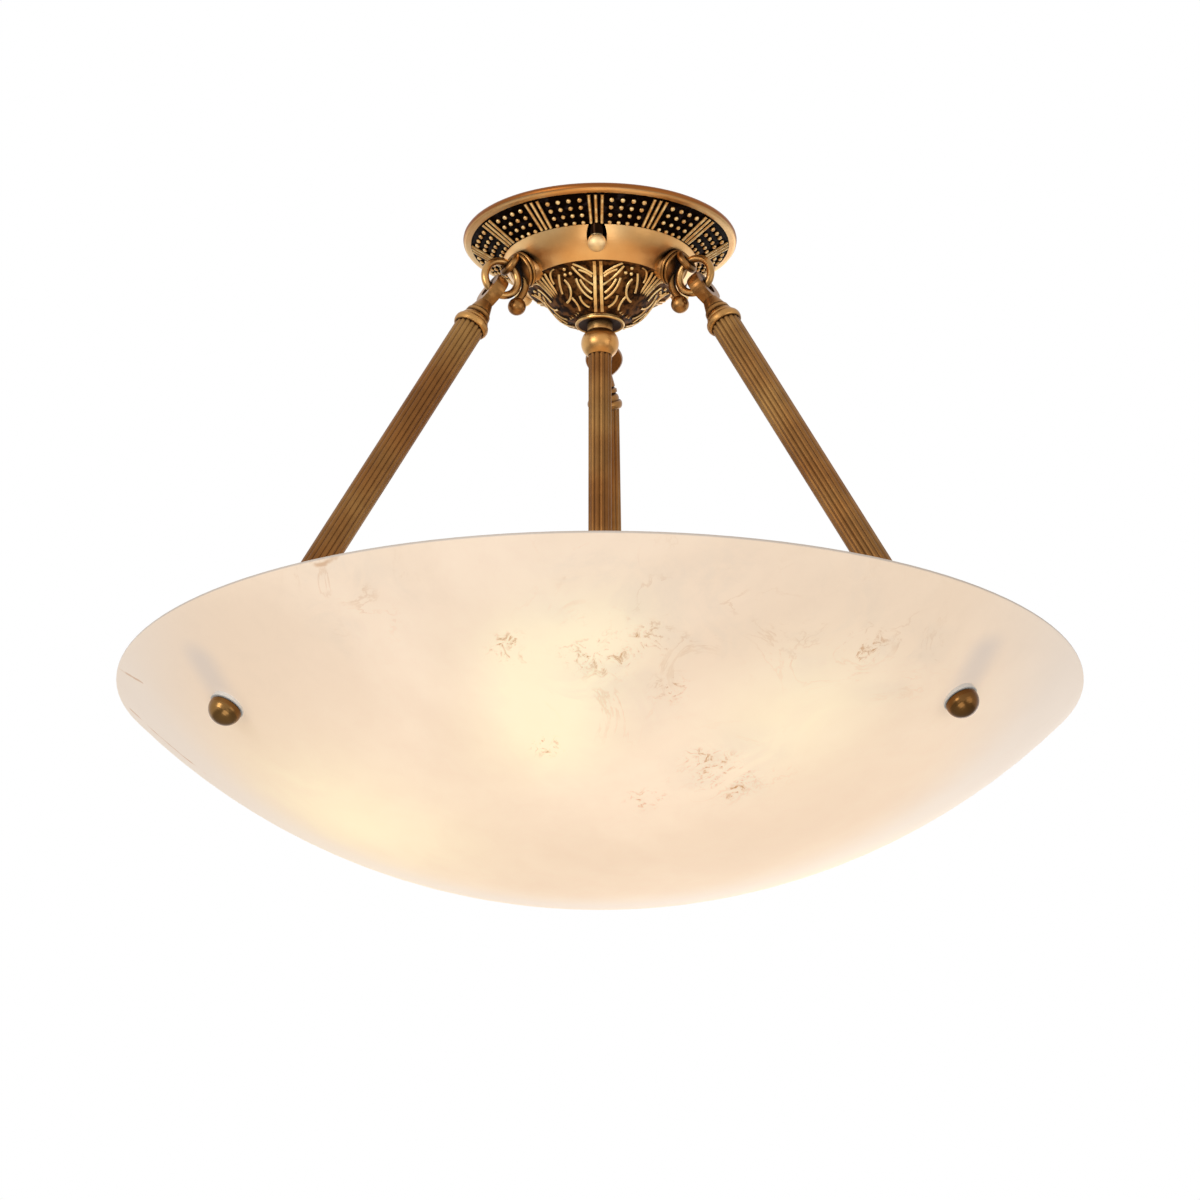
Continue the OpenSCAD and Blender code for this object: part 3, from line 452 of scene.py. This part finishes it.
def brown_marks(s, place, wisps, veil):
    """Specks in their patches, thin veins in the clouds, and the single marks."""
    fine = s.noise(170.0, 8.0, 0.72, 1.2, place)
    patch = spots(s, SPECKLE_PATCHES, 0.25)
    speck = s.times(s.ramp(fine, 0.50, 0.66), patch, s.ramp(wisps, 0.42, 0.58))
    net = s.times(s.veins(17.0, 0.022), veil, s.ramp(s.noise(45.0, 5.0), 0.42, 0.62))
    mark = highest(s, [s.ramp(s.to_line(place, a, b), w * 0.2, w, k, 0.0) for a, b, w, k in MARKS])
    return highest(s, [s.times(speck, 0.95), mark, s.times(net, 0.22)])


def arm_shades(s):
    """The soft shade of each arm's end in the stone."""
    shades = []
    for direction, turn in zip(ARM_DIRS, SHADE_TURNS):
        start = arm_place(direction, *SHADE_FROM)
        end = arm_place(direction + turn, *SHADE_TO)
        shades.append(s.ramp(s.to_line(s.coord, start, end), 0.001, 0.017, 0.38, 0.0))
    return highest(s, shades)


def lit_alabaster(glow):
    """Translucent stone with a painted glow from the bulbs inside: cloudy cream, warm spots at the
    bulbs, brown specks and veins, and the painted soft shade of the arms' ends."""
    s = Shader("alabaster")
    cloud = s.noise(6.0, 5.0, 0.55, 0.4)
    wisps = s.noise(24.0, 8.0, 0.64, 1.2)
    mottle = s.wander(38.0, 0.012)
    warm = painted_bulb_glow(s, wisps)
    veil = spots(s, CLOUD_PATCHES, 0.3)
    brown = brown_marks(s, mottle, wisps, veil)
    veil = s.times(veil, s.ramp(wisps, 0.42, 0.66))
    shade = arm_shades(s)
    z = s.axis(2)

    stone = s.mix(s.ramp(cloud, 0.32, 0.68), (0.44, 0.40, 0.36), (0.49, 0.45, 0.41))
    stone = s.mix(brown, stone, (0.26, 0.11, 0.03))
    stone = s.mix(s.times(shade, 0.5), stone, (0.36, 0.35, 0.36))
    s.put(s.bsdf.inputs["Base Color"], stone)

    # The stone's painted glow, standing for the bulbs' light through it
    light = s.mix(s.ramp(cloud, 0.30, 0.70), (0.58, 0.405, 0.255), (0.65, 0.47, 0.305))
    blotches = s.ramp(s.noise(70.0, 6.0, 0.7, 0.6, mottle), 0.42, 0.68, 0.0, 0.16)
    light = s.mix(blotches, light, (0.48, 0.33, 0.20))
    # Painted glow, paler and cooler towards the outline
    light = s.mix(painted_pale_edge(s), light, (0.55, 0.445, 0.355))
    # Painted glow, warmer near the bulbs
    light = s.mix(warm, light, (0.71, 0.575, 0.335))
    light = s.mix(s.times(veil, 0.34), light, (0.42, 0.32, 0.22))
    light = s.mix(brown, light, (0.34, 0.155, 0.035))
    light = s.mix(shade, light, (0.24, 0.22, 0.23))
    # A painted dark line along the rim's outer edge, as shade at the bowl's outline
    rim = s.times(s.ramp(z, -0.2588, -0.2580), s.ramp(s.radius(), 0.2478, 0.2490))
    light = s.mix(s.times(rim, 0.75), light, (0.12, 0.10, 0.09))
    s.put(s.bsdf.inputs["Emission Color"], light)
    # The stone is brighter low down, where the bulbs are near
    s.put(s.bsdf.inputs["Emission Strength"], s.ramp(z, -0.350, -0.262, 1.07 * glow, 0.84 * glow))
    s.bsdf.inputs["Roughness"].default_value = 0.5
    s.bsdf.inputs["Specular IOR Level"].default_value = 0.12
    s.bump(s.noise(60.0, 5.0), 0.05, 0.001)
    return s.mat


def dress(nodes, mat):
    """Gives the nodes one material."""
    for name in nodes:
        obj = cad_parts[name]
        obj.data.materials.clear()
        obj.data.materials.append(mat)


def smooth_cad(names, degrees=32.0):
    """Smooth shading over all but the real edges."""
    deselect()
    for name in names:
        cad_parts[name].select_set(True)
    bpy.context.view_layer.objects.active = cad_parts[names[0]]
    bpy.ops.object.shade_smooth_by_angle(angle=math.radians(degrees))
    deselect()


class LightColours(bpy.types.PropertyGroup):
    patina: bpy.props.FloatVectorProperty(
        name="Patina", description="Colour of the dark patina in the hollows", subtype="COLOR",
        size=3, min=0.0, max=1.0, default=(0.045, 0.018, 0.008))
    brass: bpy.props.FloatVectorProperty(
        name="Brass", description="Colour of the antique brass", subtype="COLOR",
        size=3, min=0.0, max=1.0, default=(0.40, 0.165, 0.045))
    rubbed: bpy.props.FloatVectorProperty(
        name="Rubbed brass", description="Colour of the brass where it is rubbed bright",
        subtype="COLOR", size=3, min=0.0, max=1.0, default=(0.68, 0.36, 0.115))
    stone_glow: bpy.props.FloatProperty(
        name="Stone glow", description="How strongly the bowl shines", default=1.0, min=0.0, max=4.0)
    bulb_glow: bpy.props.FloatProperty(
        name="Bulb glow", description="How strongly the bulbs shine", default=0.9, min=0.0, max=10.0)


class LightStage(bpy.types.PropertyGroup):
    distance: bpy.props.FloatProperty(
        name="Camera distance", description="Level distance of the camera from the centre line",
        subtype="DISTANCE", default=2.1, min=0.5, max=10.0)
    height: bpy.props.FloatProperty(
        name="Camera height", description="Height of the camera above the ceiling's plane",
        subtype="DISTANCE", default=-0.9209, min=-3.0, max=1.0)
    pitch: bpy.props.FloatProperty(
        name="Camera pitch", description="How far the camera looks up", subtype="ANGLE",
        default=math.radians(18.793))
    side: bpy.props.FloatProperty(
        name="Camera side", description="How far the camera stands to the right of the front",
        subtype="ANGLE", default=math.radians(2.0))
    lens: bpy.props.FloatProperty(
        name="Lens", description="Focal length on a 36 mm sensor", default=127.06, min=20.0, max=300.0)


class OBJECT_OT_light_brass(bpy.types.Operator):
    """Gives the brass castings, tubes and nuts their patinated finishes"""
    bl_idname = "object.light_brass"
    bl_label = "Brass finishes"

    def execute(self, context):
        c = context.scene.light_colours
        patina, brass, rubbed = tuple(c.patina), tuple(c.brass), tuple(c.rubbed)
        dress(CAST_NODES, patinated_brass(
            "cast_brass", toned(patina, 0.5), toned(brass, 0.6), toned(rubbed, 0.9), reach=0.007,
            low=0.42, high=0.95))
        dress(CANOPY_NODES, canopy_brass(patina, brass))
        dress(BALL_NODES, patinated_brass(
            "ball_brass", patina, (0.56, 0.27, 0.08), (0.95, 0.62, 0.25), reach=0.005))
        dress(RING_NODES, patinated_brass(
            "ring_brass", patina, toned(rubbed, 0.62), (0.82, 0.46, 0.17), roughness=0.28))
        dress(TUBE_NODES, patinated_brass(
            "tube_brass", patina, toned(brass, 0.62), toned(rubbed, 0.50),
            reach=0.0014, low=0.45, high=0.95, roughness=0.42, grain=0.1))
        dress(STEM_NODES, patinated_brass(
            "stem_brass", patina, toned(brass, 0.60), toned(rubbed, 0.48),
            reach=0.0014, low=0.45, high=0.95, roughness=0.42, grain=0.1))
        dress(BAND_NODES, beaded_brass(patina, rubbed))
        dress(DOME_NODES, carved_brass(patina, brass, rubbed))
        # The cup's inside is painted dark as shade in its hollow; its lip is golden
        dress(CUP_NODES, painted_shade_brass(
            "cup_brass", toned(patina, 0.8), (0.92, 0.58, 0.22), Shader.radius, 0.0112, 0.0122))
        # The nuts' balls are bright below; the shanks above are painted near-black as shade in their
        # pockets
        dress(NUT_NODES, painted_shade_brass(
            "nut_brass", (0.92, 0.66, 0.34), toned(patina, 0.25), lambda s: s.axis(2),
            -0.0212, -0.0200, 0.18))
        dress(KNOB_NODES, patinated_brass(
            "knob_brass", toned(patina, 0.7), toned(brass, 0.32),
            toned(rubbed, 0.45), reach=0.002, roughness=0.24, grain=0.08))
        smooth_cad(BRASS_NODES)
        return {"FINISHED"}


class OBJECT_OT_light_fittings(bpy.types.Operator):
    """Gives the steel, porcelain, plastic, rubber and glass pieces their finishes"""
    bl_idname = "object.light_fittings"
    bl_label = "Fittings' finishes"

    def execute(self, context):
        dress(STEEL_NODES, zinc_steel())
        dress(HOLDER_NODES, plain_ware("porcelain", (0.78, 0.76, 0.70), (0.86, 0.84, 0.79), 0.22))
        dress(("terminal_block",),
              plain_ware("ivory_plastic", (0.72, 0.68, 0.56), (0.78, 0.74, 0.63), 0.5))
        dress(PAD_NODES, plain_ware("clear_silicone", (0.72, 0.70, 0.66), (0.82, 0.80, 0.76), 0.5))
        dress(BULB_NODES, bulb_glass(context.scene.light_colours.bulb_glow))
        smooth_cad(STEEL_NODES + HOLDER_NODES + BULB_NODES + PAD_NODES)
        return {"FINISHED"}


class OBJECT_OT_light_bowl(bpy.types.Operator):
    """Gives the bowl its veined alabaster, with a painted glow from inside"""
    bl_idname = "object.light_bowl"
    bl_label = "Alabaster bowl"

    def execute(self, context):
        dress(("bowl",), lit_alabaster(context.scene.light_colours.stone_glow))
        smooth_cad(("bowl",))
        return {"FINISHED"}


# Plain lamps: name, place, target, size in metres, power in watts
LAMPS = (
    ("key", (-1.5, -2.0, 0.1), (0, 0, -0.15), 1.2, 19.0),
    ("fill", (1.9, -1.5, -0.6), (0, 0, -0.2), 1.6, 7.0),
    ("low", (0.0, -1.6, -1.9), (0, 0, -0.2), 1.6, 12.0),
    ("back", (0.6, 2.0, -0.4), (0, 0, -0.15), 1.4, 4.0),
)

FLOOR_Z = -2.3


def add_camera(scene, st):
    """The camera that matches the photograph."""
    cam_data = bpy.data.cameras.new("photo_camera")
    cam_data.lens = st.lens
    cam_data.sensor_width = 36.0
    cam = bpy.data.objects.new("photo_camera", cam_data)
    scene.collection.objects.link(cam)
    cam.location = (st.distance * math.sin(st.side), -st.distance * math.cos(st.side), st.height)
    cam.rotation_euler = (math.radians(90.0) + st.pitch, 0.0, st.side)
    scene.camera = cam


def add_lamps(scene):
    """Round area lamps that face the light."""
    for name, place, target, size, power in LAMPS:
        lamp = bpy.data.lights.new(name, "AREA")
        lamp.shape = "DISK"
        lamp.size = size
        lamp.energy = power
        obj = bpy.data.objects.new(name, lamp)
        scene.collection.objects.link(obj)
        obj.location = place
        aim = Vector(target) - Vector(place)
        obj.rotation_euler = aim.to_track_quat("-Z", "Y").to_euler()


def add_floor(context):
    """A pale floor far below; seen by the camera, it fades to the white of the surround."""
    deselect()
    bpy.ops.mesh.primitive_plane_add(size=12.0, location=(0, 0, FLOOR_Z))
    floor = context.active_object
    floor.name = "floor"
    s = Shader("pale_floor")
    s.put(s.bsdf.inputs["Base Color"], s.mix(s.noise(2.0), (0.80, 0.80, 0.79), (0.84, 0.84, 0.83)))
    s.bsdf.inputs["Roughness"].default_value = 0.7
    s.bsdf.inputs["Emission Color"].default_value = (1.0, 1.0, 1.0, 1.0)
    seen = s.node("ShaderNodeLightPath").outputs["Is Camera Ray"]
    s.put(s.bsdf.inputs["Emission Strength"], s.times(seen, s.ramp(s.radius(), 1.5, 5.5, 0.42, 1.0)))
    floor.data.materials.append(s.mat)


def add_surround(scene):
    """White for the camera, in reflections and through glass, and dimmer as a light."""
    world = bpy.data.worlds.new("surround")
    scene.world = world
    world.use_nodes = True
    tree = world.node_tree
    tree.nodes.clear()
    out = tree.nodes.new("ShaderNodeOutputWorld")
    dim = tree.nodes.new("ShaderNodeBackground")
    dim.inputs["Color"].default_value = (1.0, 0.99, 0.97, 1.0)
    dim.inputs["Strength"].default_value = 0.42
    white = tree.nodes.new("ShaderNodeBackground")
    white.inputs["Color"].default_value = (1.0, 1.0, 1.0, 1.0)
    white.inputs["Strength"].default_value = 1.0
    mix = tree.nodes.new("ShaderNodeMixShader")
    path = tree.nodes.new("ShaderNodeLightPath")
    seen = path.outputs["Is Camera Ray"]
    for ray in ("Is Transmission Ray", "Is Glossy Ray"):
        either = tree.nodes.new("ShaderNodeMath")
        either.operation = "MAXIMUM"
        tree.links.new(seen, either.inputs[0])
        tree.links.new(path.outputs[ray], either.inputs[1])
        seen = either.outputs[0]
    tree.links.new(seen, mix.inputs[0])
    tree.links.new(dim.outputs[0], mix.inputs[1])
    tree.links.new(white.outputs[0], mix.inputs[2])
    tree.links.new(mix.outputs[0], out.inputs[0])


class OBJECT_OT_light_stage(bpy.types.Operator):
    """Sets up the camera, the plain lamps, the pale floor and the white surround"""
    bl_idname = "object.light_stage"
    bl_label = "Stage"

    def execute(self, context):
        scene = context.scene
        add_camera(scene, scene.light_stage)
        add_lamps(scene)
        add_floor(context)
        add_surround(scene)
        scene.view_settings.view_transform = "Standard"
        return {"FINISHED"}


class VIEW3D_PT_ceiling_light(bpy.types.Panel):
    bl_label = "Ceiling light"
    bl_space_type = "VIEW_3D"
    bl_region_type = "UI"
    bl_category = "Ceiling light"

    def draw(self, context):
        for group in (context.scene.light_colours, context.scene.light_stage):
            for key in group.bl_rna.properties.keys():
                if key not in ("rna_type", "name"):
                    self.layout.prop(group, key)
        for op in OPERATORS:
            self.layout.operator(op.bl_idname)


OPERATORS = (OBJECT_OT_light_brass, OBJECT_OT_light_fittings, OBJECT_OT_light_bowl,
             OBJECT_OT_light_stage)
CLASSES = (LightColours, LightStage) + OPERATORS + (VIEW3D_PT_ceiling_light,)


def register():
    for cls in CLASSES:
        bpy.utils.register_class(cls)
    bpy.types.Scene.light_colours = bpy.props.PointerProperty(type=LightColours)
    bpy.types.Scene.light_stage = bpy.props.PointerProperty(type=LightStage)


def unregister():
    del bpy.types.Scene.light_stage
    del bpy.types.Scene.light_colours
    for cls in reversed(CLASSES):
        bpy.utils.unregister_class(cls)


def main():
    register()
    bpy.ops.object.light_brass()
    bpy.ops.object.light_fittings()
    bpy.ops.object.light_bowl()
    bpy.ops.object.light_stage()


if __name__ == "__main__":
    main()
